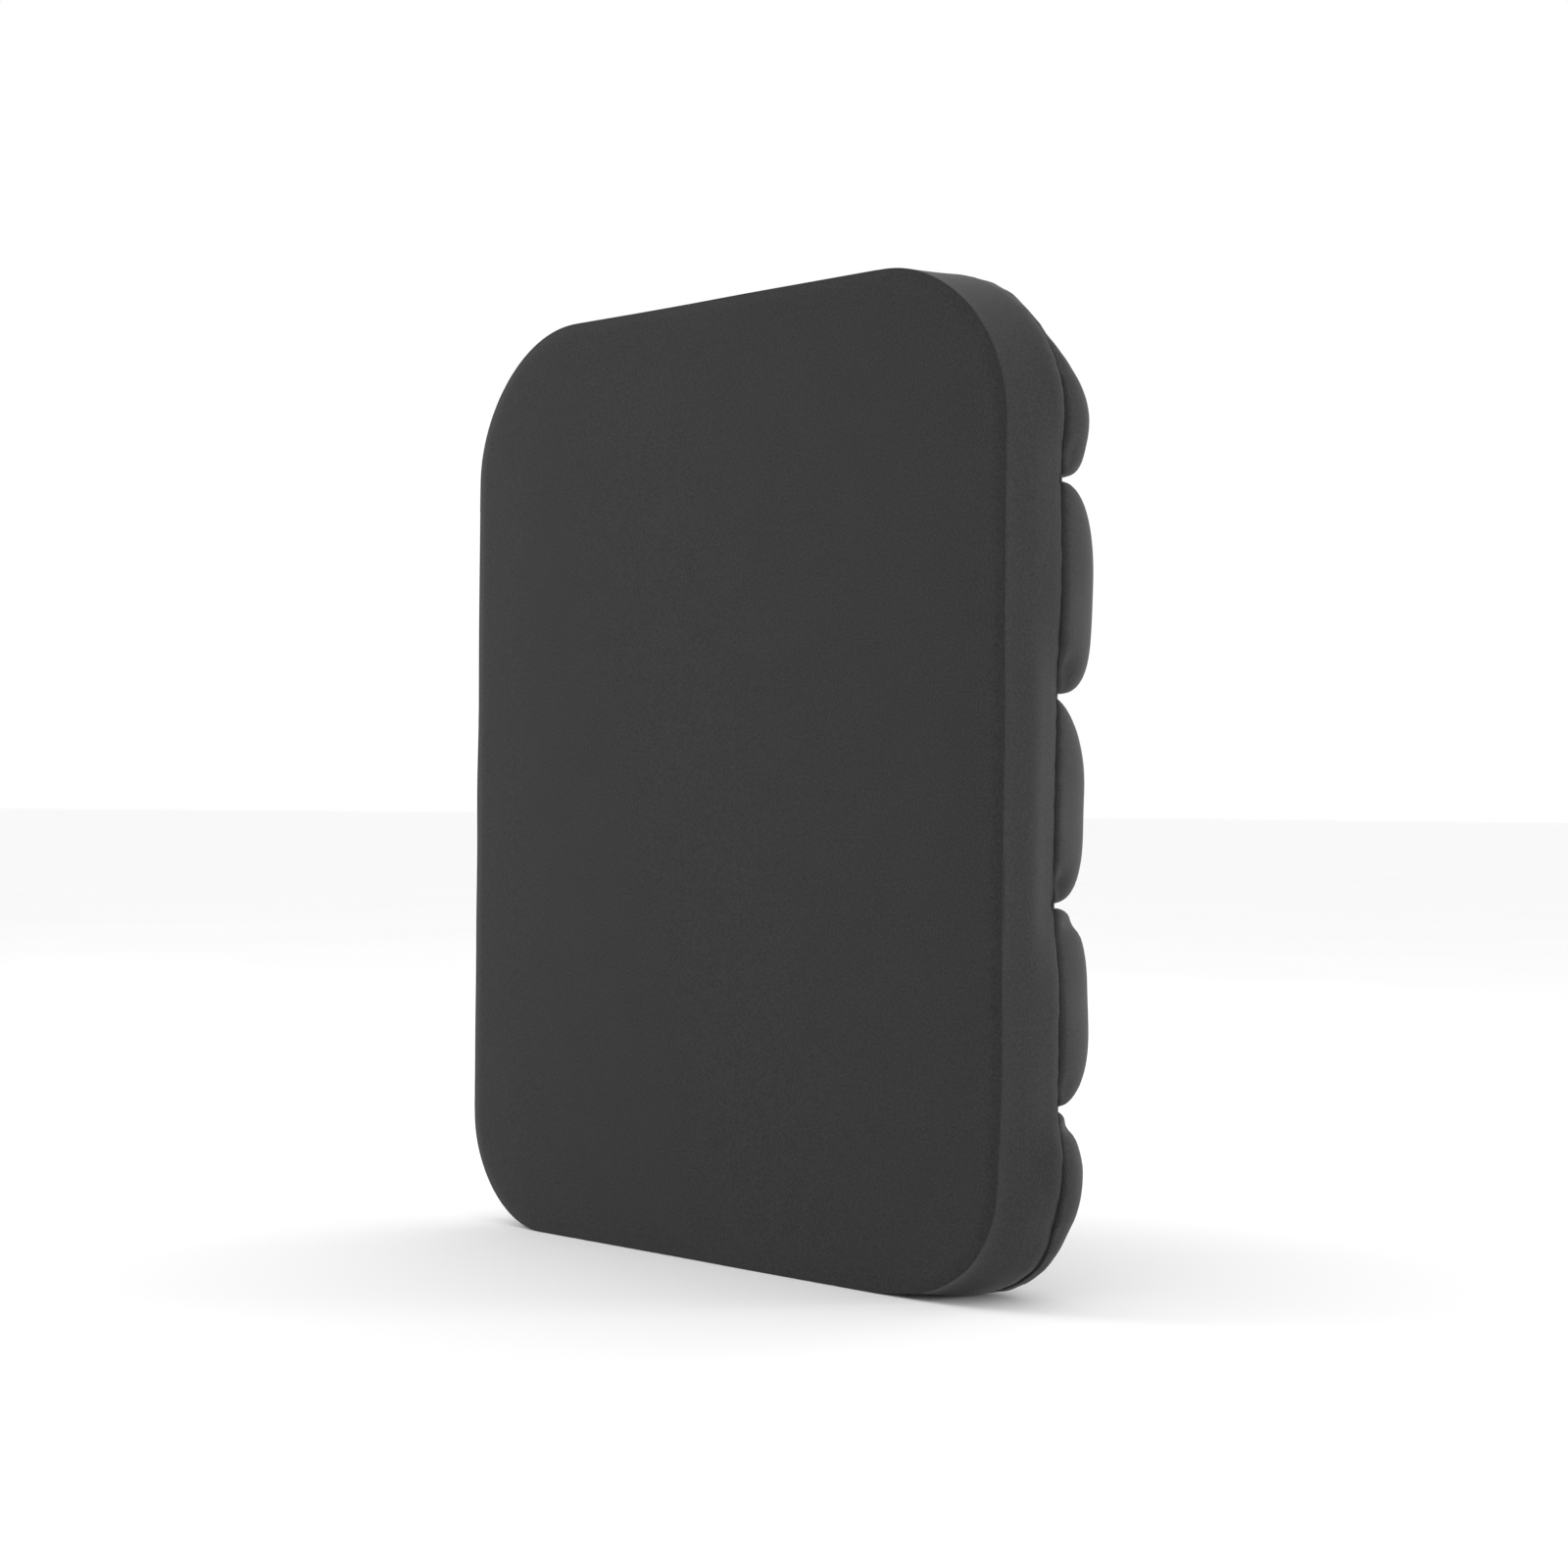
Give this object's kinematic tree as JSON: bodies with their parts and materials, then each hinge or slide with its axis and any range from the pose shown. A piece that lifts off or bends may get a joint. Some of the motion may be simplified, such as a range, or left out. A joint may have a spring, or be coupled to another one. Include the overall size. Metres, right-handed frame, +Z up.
{
  "type": "booster seat cushion",
  "caption": "Booster seat cushion with rounded corners: smooth flat underside, gusseted firm slab and a deeply quilted seat of rounded cells, with a zip along one side.",
  "frame": {"origin": "bottom centre of the bounding box, with the cushion standing on its short bottom end", "axes": "+Z up the cushion's length, +X across its width, +Y from the flat underside to the quilted seat side"},
  "size_m": [0.3271, 0.06, 0.4],
  "materials": {
    "cover_knit": "charcoal brushed knit, matt with a faint sheen at grazing angles",
    "lining_cloth": "thin plain woven lining",
    "firm_foam": "firm open-cell foam",
    "soft_fill": "soft fibre-wrapped foam",
    "zip_tape": "woven zip tape",
    "zip_teeth": "moulded nylon coil",
    "zip_metal": "black lacquered die-cast metal"
  },
  "bodies": {
    "cushion": {"underside_panel": "cover_knit", "gusset_band": "cover_knit", "gusset_strip_lower": "cover_knit", "gusset_strip_upper": "cover_knit", "seat_panel": "cover_knit", "quilt_lining": "lining_cloth", "foam_base_slab": "firm_foam", "zip_tape_lower": "zip_tape", "zip_tape_upper": "zip_tape", "zip_teeth_lower": "zip_teeth", "zip_teeth_upper": "zip_teeth", "zip_end_stop_lower": "zip_metal", "zip_end_stop_upper": "zip_metal", "zip_start_stop": "zip_metal", "zip_end_patch_bottom": "lining_cloth", "zip_end_patch_top": "lining_cloth", "cell_pad_r1_c1": "soft_fill", "cell_pad_r1_c2": "soft_fill", "cell_pad_r1_c3": "soft_fill", "cell_pad_r1_c4": "soft_fill", "cell_pad_r2_c1": "soft_fill", "cell_pad_r2_c2": "soft_fill", "cell_pad_r2_c3": "soft_fill", "cell_pad_r2_c4": "soft_fill", "cell_pad_r3_c1": "soft_fill", "cell_pad_r3_c2": "soft_fill", "cell_pad_r3_c3": "soft_fill", "cell_pad_r3_c4": "soft_fill", "cell_pad_r4_c1": "soft_fill", "cell_pad_r4_c2": "soft_fill", "cell_pad_r4_c3": "soft_fill", "cell_pad_r4_c4": "soft_fill", "cell_pad_r5_c1": "soft_fill", "cell_pad_r5_c2": "soft_fill", "cell_pad_r5_c3": "soft_fill", "cell_pad_r5_c4": "soft_fill"},
    "slider": {"zip_slider": "zip_metal"},
    "pull_tab": {"zip_pull_tab": "zip_metal"}
  },
  "joints": [
    {"name": "zip_slide", "type": "slide", "parent": "cushion", "child": "slider", "axis": [0, 0, 1], "range_m": [0, 0.2434]},
    {"name": "tab_hinge", "type": "hinge", "parent": "slider", "child": "pull_tab", "pos_m": [-0.1638, -0.014, 0.0699], "axis": [0, 1, 0], "range_deg": [0, 170]}
  ]
}
